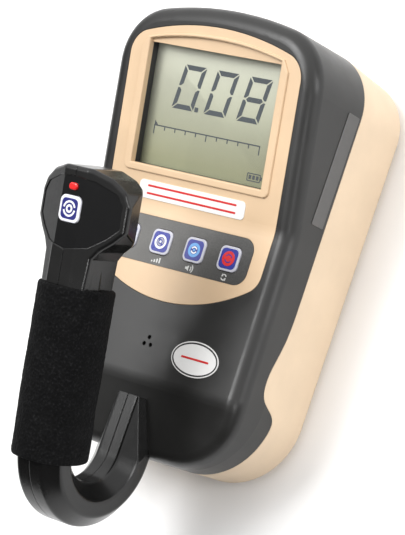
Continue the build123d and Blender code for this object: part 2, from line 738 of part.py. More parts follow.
with BuildPart() as battery_contacts:
    add(block(CELLS, (60, 16, 0.5)))
    add(block(CELLS.offset(2 * BOX_HALF[1] - 0.5), (14, 16, 0.5), (-CELL_X, 0)))
    add(block(CELLS.offset(2 * BOX_HALF[1] - 0.5), (14, 16, 0.5), (CELL_X, 0)))
battery_contacts.part.label = "battery_contacts"
export_step(battery_contacts.part, "parts/battery_contacts.step")

with BuildPart() as battery_door:
    add(block(PLAN.offset(FOOT_PROUD), (*DOOR, DOOR_THICK), (0, DOOR_Y)))
    add(block(PLAN.offset(FOOT_PROUD), (DOOR[0], 3.2, DOOR_THICK), (0, HINGE_Y - 1.6)))
    add(rods(HINGE.offset(-DOOR[0] / 2), [(0, 0)], HINGE_RADIUS, DOOR[0]))
    add(rods(HINGE.offset(-DOOR[0] / 2), [(0, 0)], HINGE_PIN + 0.05, DOOR[0]), mode=Mode.SUBTRACT)
    add(rods(PLAN, [(0, DOOR_Y - DOOR[1] / 2 - 5)], 9, 1.8), mode=Mode.SUBTRACT)
battery_door.part.label = "battery_door"
export_step(battery_door.part, "parts/battery_door.step")

with BuildPart() as door_seal:
    seal = (DOOR[0] - 2.2, DOOR[1] - 2.4)
    middle = (0, DOOR_Y + 0.4)
    add(block(PLAN.offset(FOOT_PROUD + DOOR_THICK), (*seal, 0.7), middle))
    add(block(PLAN, (seal[0] - 3.8, seal[1] - 3.8, 10), middle), mode=Mode.SUBTRACT)
door_seal.part.label = "door_seal"
export_step(door_seal.part, "parts/door_seal.step")

with BuildPart() as hinge_pin:
    add(rods(HINGE.offset(-DOOR[0] / 2 - 4), [(0, 0)], HINGE_PIN, DOOR[0] + 8))
hinge_pin.part.label = "hinge_pin"
export_step(hinge_pin.part, "parts/hinge_pin.step")


# ---------------------------------------------------------------- handle
HANDLE_SCREWS = [grip_point(along, 2.4) for along in (-22, -50, -88)] + [bend_point(24.8, 255)]
LED_Y = 9.3
BUTTON_HOLE = KEY + 2 * FIT

with BuildPart() as handle_solid:
    add(head_form(0))
    add(tube_form(0))
    add(arm_trim(), mode=Mode.SUBTRACT)
    add(mirror(arm_trim(), about=Plane.YZ), mode=Mode.SUBTRACT)
    add(outer, mode=Mode.SUBTRACT)

with BuildPart() as handle_hollow:
    add(head_form(HANDLE_WALL))
    add(tube_form(HANDLE_WALL))

with BuildPart() as handle_fill:
    add(rods(SIDE.offset(-TUBE), HANDLE_SCREWS, 3.2, 2 * TUBE))
    add(rods(GRIP.offset(-TUBE), [(-8.5, 6), (8.5, 6)], 2.2, TUBE + 4.6))
    add(block(PLAN.offset(30), (TUBE + 2, 30, 40), (0, -95)))
    add(handle_solid.part, mode=Mode.INTERSECT)

with BuildPart() as plate_recess:
    add(head_prism(PLATE_OUTLINE, -30, 1.5, -0.1))
    add(head_section(1.3), mode=Mode.SUBTRACT)
    split(bisect_by=GRIP)

with BuildPart() as handle_shell:
    add(handle_solid.part)
    add(handle_hollow.part, mode=Mode.SUBTRACT)
    add(handle_fill.part)
    add(plate_recess.part, mode=Mode.SUBTRACT)
    add(block(GRIP, (BUTTON_HOLE, BUTTON_HOLE, 20), corner=2.9), mode=Mode.SUBTRACT)
    add(block(GRIP, (4.4, 3.0, 20), (0, LED_Y), corner=1.4), mode=Mode.SUBTRACT)
    add(rods(END.offset(-6), [(0, 0)], LEAD_BORE, 16), mode=Mode.SUBTRACT)
    add(rods(SLOPE, CLAMP_SCREWS, 1.1, 4.6), mode=Mode.SUBTRACT)
    add(rods(SIDE.offset(-TUBE), HANDLE_SCREWS, 2.6, TUBE - 8.2), mode=Mode.SUBTRACT)
    add(rods(SIDE.offset(-TUBE), HANDLE_SCREWS, 1.2, TUBE + 8), mode=Mode.SUBTRACT)

with BuildPart() as handle_left:
    add(handle_shell.part)
    split(bisect_by=SIDE.offset(-HALF_GAP), keep=Keep.BOTTOM)
handle_left.part.label = "handle_left"
export_step(handle_left.part, "parts/handle_left.step")

with BuildPart() as handle_right:
    add(handle_shell.part)
    split(bisect_by=SIDE.offset(HALF_GAP), keep=Keep.TOP)
handle_right.part.label = "handle_right"
export_step(handle_right.part, "parts/handle_right.step")

with BuildPart() as handle_screws:
    add(rods(SIDE.offset(-10.4), HANDLE_SCREWS, 2.6, 2.2))
    add(rods(SIDE.offset(-10.4), HANDLE_SCREWS, 1.2, 18.4))
handle_screws.part.label = "handle_screws"
export_step(handle_screws.part, "parts/handle_screws.step")

CLAMP_BACK = -WALL - CLAMP_THICK
with BuildPart() as handle_clamp:
    add(block(SLOPE.offset(CLAMP_BACK), (20, 14, CLAMP_THICK), (0, -15)))
    add(rods(SLOPE.offset(CLAMP_BACK), CLAMP_SCREWS, 1.1, 5), mode=Mode.SUBTRACT)
handle_clamp.part.label = "handle_clamp"
export_step(handle_clamp.part, "parts/handle_clamp.step")

with BuildPart() as clamp_screws:
    add(rods(SLOPE.offset(CLAMP_BACK - 1.4), CLAMP_SCREWS, 2.2, 1.4))
    add(rods(SLOPE.offset(CLAMP_BACK - 1.4), CLAMP_SCREWS, 1.1, 10.3))
clamp_screws.part.label = "clamp_screws"
export_step(clamp_screws.part, "parts/clamp_screws.step")

with BuildPart() as foam_grip:
    add(rods(ALONG_GRIP.offset(-FOAM_TOP), [(0, 0)], FOAM_RADIUS, FOAM_TOP - FOAM_BOTTOM))
    fillet(foam_grip.edges().filter_by(GeomType.CIRCLE), 2.2)
    add(tube_form(0), mode=Mode.SUBTRACT)
    add(head_form(0), mode=Mode.SUBTRACT)
foam_grip.part.label = "foam_grip"
export_step(foam_grip.part, "parts/foam_grip.step")

with BuildPart() as thumb_plate:
    add(head_section(0.3))
    add(head_section(1.3), mode=Mode.SUBTRACT)
    add(head_prism(PLATE_OUTLINE, -30, 1.5, 0), mode=Mode.INTERSECT)
    split(bisect_by=GRIP)
    add(block(GRIP, (BUTTON_HOLE, BUTTON_HOLE, 20), corner=2.9), mode=Mode.SUBTRACT)
    add(block(GRIP, (4.4, 3.0, 20), (0, LED_Y), corner=1.4), mode=Mode.SUBTRACT)
thumb_plate.part.label = "thumb_plate"
export_step(thumb_plate.part, "parts/thumb_plate.step")

with BuildPart() as thumb_button:
    add(block(GRIP.offset(8.4), (KEY, KEY, TUBE_FRONT + 0.5 - 8.4), corner=2.6))
    button_top = thumb_button.faces().sort_by(Axis((0, 0, 0), GRIP.z_dir))[-1]
    fillet(button_top.edges(), 0.4)
    add(block(GRIP.offset(8.4), (KEY + 1.8, KEY + 1.8, 1.0), corner=3))
thumb_button.part.label = "thumb_button"
export_step(thumb_button.part, "parts/thumb_button.step")

with BuildPart() as thumb_board:
    add(block(GRIP.offset(6.2 - BOARD), (24, 24, BOARD), corner=2))
    add(block(GRIP.offset(6.2), (5, 5, 1.2)))
thumb_board.part.label = "thumb_board"
export_step(thumb_board.part, "parts/thumb_board.step")

with BuildPart() as status_led:
    add(block(GRIP.offset(6.2), (4.4, 3.0, TUBE_FRONT + 0.7 - 6.2), (0, LED_Y), corner=1.4))
    led_top = status_led.faces().sort_by(Axis((0, 0, 0), GRIP.z_dir))[-1]
    fillet(led_top.edges(), 0.6)
status_led.part.label = "status_led"
export_step(status_led.part, "parts/status_led.step")

with BuildPart() as handle_lead:
    turn = BEND_RADIUS - LEAD_DEPTH
    inner_z = 41.6
    with BuildLine(SIDE) as route:
        Line(grip_point(-13, TUBE_FRONT - LEAD_DEPTH), bend_point(turn, 90 + GRIP_TILT))
        ThreePointArc(
            bend_point(turn, 90 + GRIP_TILT), bend_point(turn, 180), bend_point(turn, 270)
        )
        FilletPolyline((BEND_Y, LEAD_Z), (-97, LEAD_Z), (-91, inner_z), (-10, inner_z), radius=5)
    with BuildSketch(route.line ^ 0):
        Circle(LEAD_RADIUS)
    sweep()
handle_lead.part.label = "handle_lead"
export_step(handle_lead.part, "parts/handle_lead.step")
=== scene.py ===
import bpy
import bmesh
import json
import math
from mathutils import Matrix, Vector, noise


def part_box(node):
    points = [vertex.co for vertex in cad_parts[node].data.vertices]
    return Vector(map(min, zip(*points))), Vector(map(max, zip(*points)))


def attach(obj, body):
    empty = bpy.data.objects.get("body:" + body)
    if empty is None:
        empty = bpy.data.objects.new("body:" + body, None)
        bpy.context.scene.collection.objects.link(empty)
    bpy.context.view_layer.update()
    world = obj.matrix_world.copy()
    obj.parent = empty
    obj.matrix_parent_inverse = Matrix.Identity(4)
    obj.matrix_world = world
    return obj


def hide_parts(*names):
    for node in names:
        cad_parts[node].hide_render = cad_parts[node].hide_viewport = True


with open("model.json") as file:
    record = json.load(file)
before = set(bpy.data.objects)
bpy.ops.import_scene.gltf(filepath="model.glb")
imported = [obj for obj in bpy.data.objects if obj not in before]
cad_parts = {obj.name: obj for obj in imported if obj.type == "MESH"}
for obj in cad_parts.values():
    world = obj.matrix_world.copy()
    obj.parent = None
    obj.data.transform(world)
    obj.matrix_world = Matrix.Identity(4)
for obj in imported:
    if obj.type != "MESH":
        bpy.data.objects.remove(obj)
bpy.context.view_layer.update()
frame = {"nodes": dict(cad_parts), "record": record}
NODES = frame["nodes"]
MM = 0.001

# The face of the meter bends at one line: these are the leans of its display half, its keypad half
# and the handle, as the CAD has them, in degrees.
DISPLAY_LEAN = 15.7
KEYPAD_LEAN = 2.1
GRIP_LEAN = 15.0

# ------------------------------------------------------------ camera, lights, floor
scene = bpy.context.scene
scene.view_settings.view_transform = "Standard"
camera_data = bpy.data.cameras.new("camera")
camera_data.sensor_width = 36.0
camera_data.lens = 154.32
camera_data.clip_start, camera_data.clip_end = 0.05, 20.0
camera = bpy.data.objects.new("camera", camera_data)
camera.location = (0.61411, -0.09783, 0.83073)
camera.rotation_euler = [math.radians(a) for a in (19.4866, 33.5184, 22.8443)]
scene.collection.objects.link(camera)
scene.camera = camera


# The room's light rises from faint to full as a direction turns towards SKY_TOWARDS: SKY_RANGE is
# where along it the rise starts and stops, and SKY_STRENGTH is the strength at each.
SKY_TOWARDS = (-0.05, 0.75, 0.65)
SKY_RANGE = (0.12, 0.82)
SKY_STRENGTH = (0.05, 1.5)


def studio_world():
    """A white room lit from above and from beyond the display end, dim towards the handle end."""
    world = bpy.data.worlds.new("studio")
    world.use_nodes = True
    nodes, links = world.node_tree.nodes, world.node_tree.links
    background = nodes["Background"]
    place = nodes.new("ShaderNodeTexCoord")
    lean = nodes.new("ShaderNodeVectorMath")
    lean.operation = "DOT_PRODUCT"
    lean.inputs[1].default_value = SKY_TOWARDS
    ramp = nodes.new("ShaderNodeMapRange")
    for socket, number in zip(ramp.inputs[1:5], SKY_RANGE + SKY_STRENGTH):
        socket.default_value = number
    links.new(place.outputs["Generated"], lean.inputs[0])
    links.new(lean.outputs["Value"], ramp.inputs["Value"])
    links.new(ramp.outputs["Result"], background.inputs["Strength"])
    background.inputs["Color"].default_value = (1.0, 1.0, 1.0, 1.0)
    scene.world = world


def area_light(name, place, aim, size, watts):
    data = bpy.data.lights.new(name, "AREA")
    data.shape = "RECTANGLE"
    data.size, data.size_y = size
    data.energy = watts
    light = bpy.data.objects.new(name, data)
    light.location = place
    light.rotation_mode = "QUATERNION"
    light.rotation_quaternion = (Vector(aim) - Vector(place)).to_track_quat("-Z", "Y")
    scene.collection.objects.link(light)


studio_world()
area_light("overhead", place=(-0.45, 0.25, 1.4), aim=(0, 0, 0.05), size=(0.9, 0.6), watts=17)
area_light("edge_strip", place=(0.96, -0.5, 1.17), aim=(0, 0, 0.08), size=(0.09, 0.5), watts=3)
area_light("right_side", place=(1.6, 0.35, 0.55), aim=(0, 0, 0.05), size=(0.5, 0.9), watts=9)


# ------------------------------------------------------------ material nodes
BEVEL_SAMPLES = 6
EDGE_RADIUS = 0.6 * MM
# An edge is where the rounded normal turns from the true one: the cosines at its start and middle.
EDGE_START, EDGE_FULL = 0.98, 0.75
# Noise stays between these values nearly everywhere.
NOISE_SPAN = (0.3, 0.7)


class Paint:
    """A node material under construction, with short names for the nodes that it is built from.

    Patterns lie on object coordinates in metres, so a scale of 1000 has features 1 mm across.
    """

    def __init__(self, name, colour, roughness, metallic=0.0):
        self.material = bpy.data.materials.new(name)
        self.material.use_nodes = True
        self.nodes = self.material.node_tree.nodes
        self.links = self.material.node_tree.links
        self.shader = self.nodes["Principled BSDF"]
        self.shader.inputs["Base Color"].default_value = (*colour, 1)
        self.shader.inputs["Roughness"].default_value = roughness
        self.shader.inputs["Metallic"].default_value = metallic
        self.place = self.nodes.new("ShaderNodeTexCoord").outputs["Object"]
        self.bumps = None

    def stretch(self, scale):
        """Object coordinates, scaled along each axis."""
        node = self.nodes.new("ShaderNodeMapping")
        node.inputs["Scale"].default_value = scale
        self.links.new(self.place, node.inputs["Vector"])
        return node.outputs["Vector"]

    def noise(self, scale, detail, roughness=0.55, place=None):
        """Cloudy noise; detail is its number of finer layers, roughness how strong those are."""
        node = self.nodes.new("ShaderNodeTexNoise")
        node.inputs["Scale"].default_value = scale
        node.inputs["Detail"].default_value = detail
        node.inputs["Roughness"].default_value = roughness
        self.links.new(place or self.place, node.inputs["Vector"])
        return node.outputs["Fac"]

    def cells(self, scale, feature="F1"):
        """Distance to the nearest of many scattered points, or to the walls between their cells."""
        node = self.nodes.new("ShaderNodeTexVoronoi")
        node.feature = feature
        node.inputs["Scale"].default_value = scale
        self.links.new(self.place, node.inputs["Vector"])
        return node.outputs["Distance"]

    def remap(self, value, low, high, to_low=0.0, to_high=1.0):
        """Stretches the span from low to high over the span from to_low to to_high."""
        node = self.nodes.new("ShaderNodeMapRange")
        for socket, number in zip(node.inputs[1:5], (low, high, to_low, to_high)):
            socket.default_value = number
        self.links.new(value, node.inputs["Value"])
        return node.outputs["Result"]

    def math(self, kind, one, other):
        node = self.nodes.new("ShaderNodeMath")
        node.operation = kind
        for socket, value in zip(node.inputs, (one, other)):
            if isinstance(value, (int, float)):
                socket.default_value = value
            else:
                self.links.new(value, socket)
        return node.outputs[0]

    def mix(self, factor, one, other):
        """A colour between two others, each a colour or a colour socket."""
        node = self.nodes.new("ShaderNodeMix")
        node.data_type = "RGBA"
        self.links.new(factor, node.inputs["Factor"])
        for socket, value in ((node.inputs[6], one), (node.inputs[7], other)):
            if isinstance(value, tuple):
                socket.default_value = (*value, 1)
            else:
                self.links.new(value, socket)
        return node.outputs[2]

    def along(self, axis, low, high):
        """0 to 1 between two places on an axis."""
        split = self.nodes.new("ShaderNodeSeparateXYZ")
        self.links.new(self.place, split.inputs[0])
        return self.remap(split.outputs[axis], low, high)

    def rounded(self, radius):
        """The surface's normal, as it would be with its sharp edges rounded."""
        node = self.nodes.new("ShaderNodeBevel")
        node.samples = BEVEL_SAMPLES
        node.inputs["Radius"].default_value = radius
        return node.outputs["Normal"]

    def edges(self):
        """How near the surface is to a sharp edge: 0 on the flat, 1 on the edge."""
        geometry = self.nodes.new("ShaderNodeNewGeometry")
        dot = self.nodes.new("ShaderNodeVectorMath")
        dot.operation = "DOT_PRODUCT"
        self.links.new(self.rounded(EDGE_RADIUS), dot.inputs[0])
        self.links.new(geometry.outputs["Normal"], dot.inputs[1])
        return self.remap(dot.outputs["Value"], EDGE_START, EDGE_FULL)

    def colour(self, socket):
        self.links.new(socket, self.shader.inputs["Base Color"])

    def rough(self, socket):
        self.links.new(socket, self.shader.inputs["Roughness"])

    def uneven(self, pattern, low, high):
        """Roughness that wanders between two values with a noise pattern."""
        self.rough(self.remap(pattern, *NOISE_SPAN, low, high))

    def bump(self, height, strength, distance):
        """Adds relief on top of the relief already there."""
        node = self.nodes.new("ShaderNodeBump")
        node.inputs["Strength"].default_value = strength
        node.inputs["Distance"].default_value = distance
        self.links.new(height, node.inputs["Height"])
        if self.bumps:
            self.links.new(self.bumps, node.inputs["Normal"])
        self.bumps = node.outputs["Normal"]
        self.links.new(self.bumps, self.shader.inputs["Normal"])

    def soften(self, radius):
        """Rounds sharp edges in the shading."""
        self.bumps = self.rounded(radius)
        self.links.new(self.bumps, self.shader.inputs["Normal"])


WORN_PLASTIC = 0.62
WORN_SHARE = 0.35


def moulded(name, colour, roughness, relief=0.35, wear=0.25, level=0.5, round_by=0.35):
    """Moulded plastic: spark-eroded grain, faint flow marks, handling sheen and rubbed edges.

    wear is how far rubbed edges pale, level the strength of reflections, round_by in mm.
    """
    paint = Paint(name, colour, roughness)
    paint.shader.inputs["Specular IOR Level"].default_value = level
    paint.soften(round_by * MM)
    grain = paint.noise(2600, 2)
    flow = paint.noise(38, 4)
    dark = tuple(c * 0.955 for c in colour)
    light = tuple(min(1.0, c * 1.03 + 0.001) for c in colour)
    worn = tuple(min(1.0, c + WORN_SHARE * (WORN_PLASTIC - c)) for c in colour)
    body = paint.mix(paint.remap(flow, 0.35, 0.65), dark, light)
    edge = paint.edges()
    patches = paint.remap(paint.noise(160, 4), 0.42, 0.62, 0.0, wear)
    paint.colour(paint.mix(paint.math("MULTIPLY", edge, patches), body, worn))
    sheen = paint.remap(paint.noise(60, 5), *NOISE_SPAN, roughness - 0.06, roughness + 0.07)
    paint.rough(paint.math("SUBTRACT", sheen, paint.math("MULTIPLY", edge, 0.08)))
    paint.bump(grain, relief, 0.03 * MM)
    paint.bump(flow, 0.08, 0.12 * MM)
    return paint.material


def rubber(name, colour, roughness=0.72):
    """Soft dull rubber with dust in its fine texture."""
    paint = Paint(name, colour, roughness)
    paint.shader.inputs["Specular IOR Level"].default_value = 0.35
    paint.soften(0.3 * MM)
    dust = paint.remap(paint.noise(220, 5, 0.7), 0.45, 0.75, 0.0, 0.35)
    paint.colour(paint.mix(dust, colour, tuple(c * 1.5 + 0.03 for c in colour)))
    paint.uneven(paint.noise(90, 4), roughness - 0.08, roughness + 0.1)
    paint.bump(paint.noise(1900, 3), 0.5, 0.05 * MM)
    return paint.material


def metal(name, colour, roughness, brushed=(1, 60, 60)):
    """Metal with drawn scratches and tarnish; brushed is how fine they are along each axis."""
    paint = Paint(name, colour, roughness, metallic=1.0)
    paint.soften(0.15 * MM)
    scratches = paint.noise(70, 5, 0.65, paint.stretch(brushed))
    tarnish = paint.remap(paint.noise(130, 5, 0.7), 0.4, 0.72, 0.0, 0.5)
    paint.colour(paint.mix(tarnish, colour, tuple(c * 0.62 for c in colour)))
    paint.uneven(scratches, roughness - 0.1, roughness + 0.14)
    paint.bump(scratches, 0.25, 0.03 * MM)
    return paint.material


def printed_film(name, colour, roughness, speckle=0.06, level=0.5):
    """Printed film or cap: smooth, with a very fine orange peel and faint handling marks."""
    paint = Paint(name, colour, roughness)
    paint.shader.inputs["Specular IOR Level"].default_value = level
    paint.soften(0.12 * MM)
    mottled = paint.remap(paint.noise(420, 4), 0.35, 0.65, 0.0, speckle * 2)
    paint.colour(paint.mix(mottled, colour, tuple(c * 0.86 for c in colour)))
    paint.uneven(paint.noise(150, 5), roughness - 0.05, roughness + 0.08)
    paint.bump(paint.noise(900, 2), 0.12, 0.02 * MM)
    return paint.material


def foam_material():
    """Near-black open-cell foam: pores of two sizes and torn cell walls that catch the light."""
    paint = Paint("foam_cells", (0.006, 0.006, 0.007), 0.92)
    paint.shader.inputs["Specular IOR Level"].default_value = 0.12
    small = paint.cells(780)
    large = paint.cells(300)
    fleck = paint.remap(paint.noise(1000, 4, 0.7), 0.5, 0.78)
    # Painted highlights: the torn cell walls are painted paler where they catch the light.
    wall_highlights = paint.math("MULTIPLY", paint.remap(small, 0.25, 0.62), fleck)
    # Painted shade: each pore is painted darker towards its middle; the same shape also sinks the
    # pores in the relief.
    pore_depth_and_shade = paint.remap(large, 0.05, 0.32, 0.35, 1.0)
    body = paint.mix(pore_depth_and_shade, (0.0007, 0.0007, 0.0007), (0.0026, 0.0026, 0.0028))
    paint.colour(paint.mix(wall_highlights, body, (0.02, 0.02, 0.021)))
    paint.uneven(paint.noise(120, 4), 0.82, 0.98)
    paint.bump(paint.math("MULTIPLY", pore_depth_and_shade, small), 0.9, 0.4 * MM)
    paint.bump(paint.noise(2200, 3), 0.5, 0.12 * MM)
    return paint.material


def lcd_material():
    """Reflective liquid crystal: silver green, painted light paling it upwards, fine grain."""
    paint = Paint("lcd_reflector", (0.5, 0.52, 0.38), 0.5)
    low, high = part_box("lcd_panel")
    margin = 6 * MM
    # Painted light: the reflector is painted paler towards its top, where more light falls on it.
    painted_light_rise = paint.along("Y", low[1] + margin, high[1] - margin)
    paint.colour(paint.mix(painted_light_rise, (0.235, 0.24, 0.125), (0.55, 0.56, 0.45)))
    paint.uneven(paint.noise(300, 4), 0.42, 0.58)
    paint.bump(paint.noise(3500, 2), 0.2, 0.02 * MM)
    return paint.material


def clear_material():
    """Clear window: seen through, with a faint reflection and light handling marks."""
    paint = Paint("window_clear", (0.95, 0.97, 0.95), 0.06)
    paint.shader.inputs["Alpha"].default_value = 0.05
    paint.shader.inputs["Specular IOR Level"].default_value = 0.35
    paint.rough(paint.remap(paint.noise(200, 5), 0.4, 0.7, 0.04, 0.16))
    paint.bump(paint.noise(45, 2), 0.05, 0.05 * MM)
    paint.material.blend_method = "BLEND"
    return paint.material


def board_material():
    """Green solder mask over copper tracks."""
    paint = Paint("solder_mask", (0.02, 0.16, 0.07), 0.35)
    tracks = paint.remap(paint.cells(300, "DISTANCE_TO_EDGE"), 0.04, 0.06)
    paint.colour(paint.mix(tracks, (0.05, 0.3, 0.12), (0.012, 0.12, 0.05)))
    paint.uneven(paint.noise(500, 4), 0.28, 0.45)
    paint.bump(tracks, 0.3, 0.03 * MM)
    return paint.material


def overlay_material():
    """Dark grey keypad film, painted sheen paling its left end, with a fine matt grain."""
    paint = Paint("overlay_film", (0.1, 0.098, 0.092), 0.42)
    low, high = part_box("keypad_overlay")
    # Painted sheen: the film is painted paler towards its left end, a painted reflection of the
    # light above left.
    across = paint.along("X", low[0], high[0])
    sheened_film_base = paint.mix(across, (0.12, 0.117, 0.11), (0.035, 0.0345, 0.033))
    grain = paint.remap(paint.noise(1400, 3), 0.4, 0.62, 0.0, 0.12)
    paint.colour(paint.mix(grain, sheened_film_base, (0.2, 0.195, 0.185)))
    paint.uneven(paint.noise(140, 4), 0.36, 0.5)
    paint.bump(paint.noise(2600, 2), 0.25, 0.02 * MM)
    return paint.material


# One finish for each material slot of the record.
MATERIALS = {
    "black_shell": moulded("shell_black", (0.014, 0.0137, 0.013), 0.36, wear=0.16),
    "beige_shell": moulded("shell_beige", (0.70, 0.545, 0.385), 0.5, wear=0.12),
    "bezel_plastic": moulded("bezel_beige", (0.66, 0.475, 0.30), 0.42, wear=0.12),
    "window_black": moulded("window_surround", (0.018, 0.018, 0.02), 0.5),
    "clear_window": clear_material(),
    "lcd_glass": lcd_material(),
    "diffuser": printed_film("diffuser_white", (0.8, 0.81, 0.78), 0.4),
    "elastomer": rubber("elastomer_strip", (0.08, 0.08, 0.08)),
    "board_green": board_material(),
    "component_black": moulded("component_epoxy", (0.02, 0.02, 0.02), 0.45),
    "label_white": printed_film("label_white", (0.80, 0.795, 0.78), 0.34, speckle=0.03),
    "label_grey": printed_film("label_grey", (0.085, 0.082, 0.08), 0.4, speckle=0.2),
    "overlay_grey": overlay_material(),
    "key_plastic": printed_film("key_white", (0.5, 0.5, 0.56), 0.3, speckle=0.05),
    "steel": metal("steel_plated", (0.6, 0.6, 0.61), 0.3),
    "brass_plate": metal("brass_strip", (0.72, 0.55, 0.26), 0.32),
    "speaker_body": rubber("speaker_cone", (0.03, 0.03, 0.032), 0.8),
    "seal_rubber": rubber("seal_black", (0.02, 0.02, 0.02)),
    "foot_rubber": rubber("foot_black", (0.028, 0.028, 0.028)),
    "module_black": moulded("module_potted", (0.02, 0.02, 0.024), 0.3),
    "tube_metal": metal("tube_drawn", (0.62, 0.62, 0.64), 0.28, brushed=(1, 90, 90)),
    "shield_metal": metal("shield_rolled", (0.5, 0.5, 0.52), 0.4),
    "clip_plastic": moulded("clip_black", (0.04, 0.04, 0.04), 0.45),
    "box_plastic": moulded("box_black", (0.035, 0.035, 0.035), 0.5),
    "cell_wrap": printed_film("cell_wrapper", (0.03, 0.035, 0.06), 0.25),
    "handle_black": moulded(
        "handle_black", (0.006, 0.0059, 0.0058), 0.22,
        relief=0.2, wear=0.1, level=0.43, round_by=0.5,
    ),
    "foam": foam_material(),
    "plate_black": printed_film(
        "plate_gloss", (0.004, 0.004, 0.0043), 0.13, speckle=0.3, level=0.33
    ),
    "button_plastic": printed_film("button_white", (0.78, 0.78, 0.84), 0.28, speckle=0.05),
    "led_red": printed_film("led_red", (0.75, 0.012, 0.012), 0.18, speckle=0.1, level=0.8),
    "cable_black": rubber("cable_black", (0.02, 0.02, 0.02), 0.6),
}
for part in frame["record"]["subparts"]:
    node = NODES[part["node"]]
    if not node.material_slots:
        node.data.materials.append(None)
    for place in node.material_slots:
        place.material = MATERIALS[part["material_slot"]]

INKS = {
    "blue": printed_film("ink_blue", (0.022, 0.032, 0.27), 0.3),
    "deep_blue": printed_film("ink_deep_blue", (0.012, 0.014, 0.16), 0.28),
    "pale_blue": printed_film("ink_pale_blue", (0.13, 0.36, 0.72), 0.3),
    "white": printed_film("ink_white", (0.86, 0.86, 0.87), 0.3),
    "red": printed_film("ink_red", (0.62, 0.022, 0.022), 0.3),
    "grey": printed_film("ink_grey", (0.3, 0.3, 0.36), 0.35),
    "segment": printed_film("lcd_segment", (0.025, 0.036, 0.046), 0.5, level=0.3),
    "caption": printed_film("ink_caption", (0.6, 0.6, 0.58), 0.4),
    "dark": printed_film("ink_dark", (0.02, 0.02, 0.02), 0.4),
}


# ------------------------------------------------------------ printed pieces
def lean_axes(lean):
    """The directions up a leaning face and out of it."""
    angle = math.radians(lean)
    up = Vector((0, math.cos(angle), math.sin(angle)))
    out = Vector((0, -math.sin(angle), math.cos(angle)))
    return up, out


def top_frame(node, lean):
    """The frame of a leaning node's upper face: origin mid-face, x right, y up it, z out of it."""
    right = Vector((1, 0, 0))
    up, out = lean_axes(lean)
    points = [v.co for v in NODES[node].data.vertices]
    spans = [[p.dot(axis) for p in points] for axis in (right, up, out)]
    middle_x = (min(spans[0]) + max(spans[0])) / 2
    middle_y = (min(spans[1]) + max(spans[1])) / 2
    matrix = Matrix((right, up, out)).transposed().to_4x4()
    matrix.translation = right * middle_x + up * middle_y + out * max(spans[2])
    return matrix


CORNER_STEPS = 6


def rounded_box(width, height, corner, centre=(0, 0)):
    """Points of a rounded rectangle, counter-clockwise."""
    points = []
    for turn, (sx, sy) in enumerate(((1, 1), (-1, 1), (-1, -1), (1, -1))):
        cx = centre[0] + sx * (width / 2 - corner)
        cy = centre[1] + sy * (height / 2 - corner)
        for step in range(CORNER_STEPS + 1):
            angle = math.radians(90 * (turn + step / CORNER_STEPS))
            points.append((cx + corner * math.cos(angle), cy + corner * math.sin(angle)))
    return points


def arc_points(radius, start, end, steps=24, centre=(0, 0)):
    """Points along an arc, angles in degrees."""
    angles = [math.radians(start + (end - start) * i / steps) for i in range(steps + 1)]
    return [(centre[0] + radius * math.cos(a), centre[1] + radius * math.sin(a)) for a in angles]


def disc(radius, steps=32):
    return arc_points(radius, 0, 360, steps)[:-1]


def stroke(points, width):
    """The outline of an open line of the given width."""
    sides = ([], [])
    for i, point in enumerate(points):
        before = Vector(points[max(i - 1, 0)])
        after = Vector(points[min(i + 1, len(points) - 1)])
        along = (after - before).normalized()
        across = Vector((-along.y, along.x)) * width / 2
        sides[0].append(tuple(Vector(point) - across))
        sides[1].append(tuple(Vector(point) + across))
    return sides[0] + sides[1][::-1]


def printed(name, matrix, shapes, heights, ink, body):
    """Thin raised prints, all in one piece: shapes are outlines in mm, each filled between two
    heights in mm above the frame. A pair of outlines with equal counts is a ring."""
    mesh = bmesh.new()
    for shape in shapes:
        ring = isinstance(shape[0], list)
        rows = [
            [mesh.verts.new(matrix @ Vector((x * MM, y * MM, height * MM))) for x, y in loop]
            for loop in (shape if ring else [shape])
            for height in heights
        ]
        outer_low, outer_high = rows[:2]
        count = len(outer_low)
        for i in range(count):
            j = (i + 1) % count
            mesh.faces.new((outer_low[i], outer_low[j], outer_high[j], outer_high[i]))
            if ring:
                inner_low, inner_high = rows[2:]
                mesh.faces.new((inner_low[j], inner_low[i], inner_high[i], inner_high[j]))
                mesh.faces.new((outer_high[i], outer_high[j], inner_high[j], inner_high[i]))
                mesh.faces.new((outer_low[j], outer_low[i], inner_low[i], inner_low[j]))
        if not ring:
            mesh.faces.new(outer_high)
            mesh.faces.new(outer_low[::-1])
    add_piece(name, mesh, INKS[ink], body)


def add_piece(name, mesh, material, body):
    """Turns a finished bmesh into an object that rides on a body."""
    data = bpy.data.meshes.new(name)
    mesh.to_mesh(data)
    mesh.free()
    data.materials.append(material)
    piece = bpy.data.objects.new(name, data)
    scene.collection.objects.link(piece)
    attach(piece, body)
    return piece


# ------------------------------------------------------------ display: digits and scale
LCD = top_frame("lcd_panel", DISPLAY_LEAN)
LCD_PRINT = (0.01, 0.06)
SEGMENT = 2.2
DIGIT_WIDTH, DIGIT_HEIGHT = 12.2, 19.8
DIGIT_GAP = 0.45
DIGIT_BASE = -0.5
DIGIT_LEFT = (-25.0, -6.8, 11.4)
DIGIT_SEGMENTS = ("abcdef", "abcdef", "abcdefg")
SLANT = math.tan(math.radians(12.5))
POINT_WIDE = 2.1
POINT_STEP = 1.9


def mirrored(points, wide):
    """The same outline seen from behind, still counter-clockwise."""
    return [(wide - x, y) for x, y in points][::-1]


def upside_down(points, high):
    return [(x, high - y) for x, y in points][::-1]


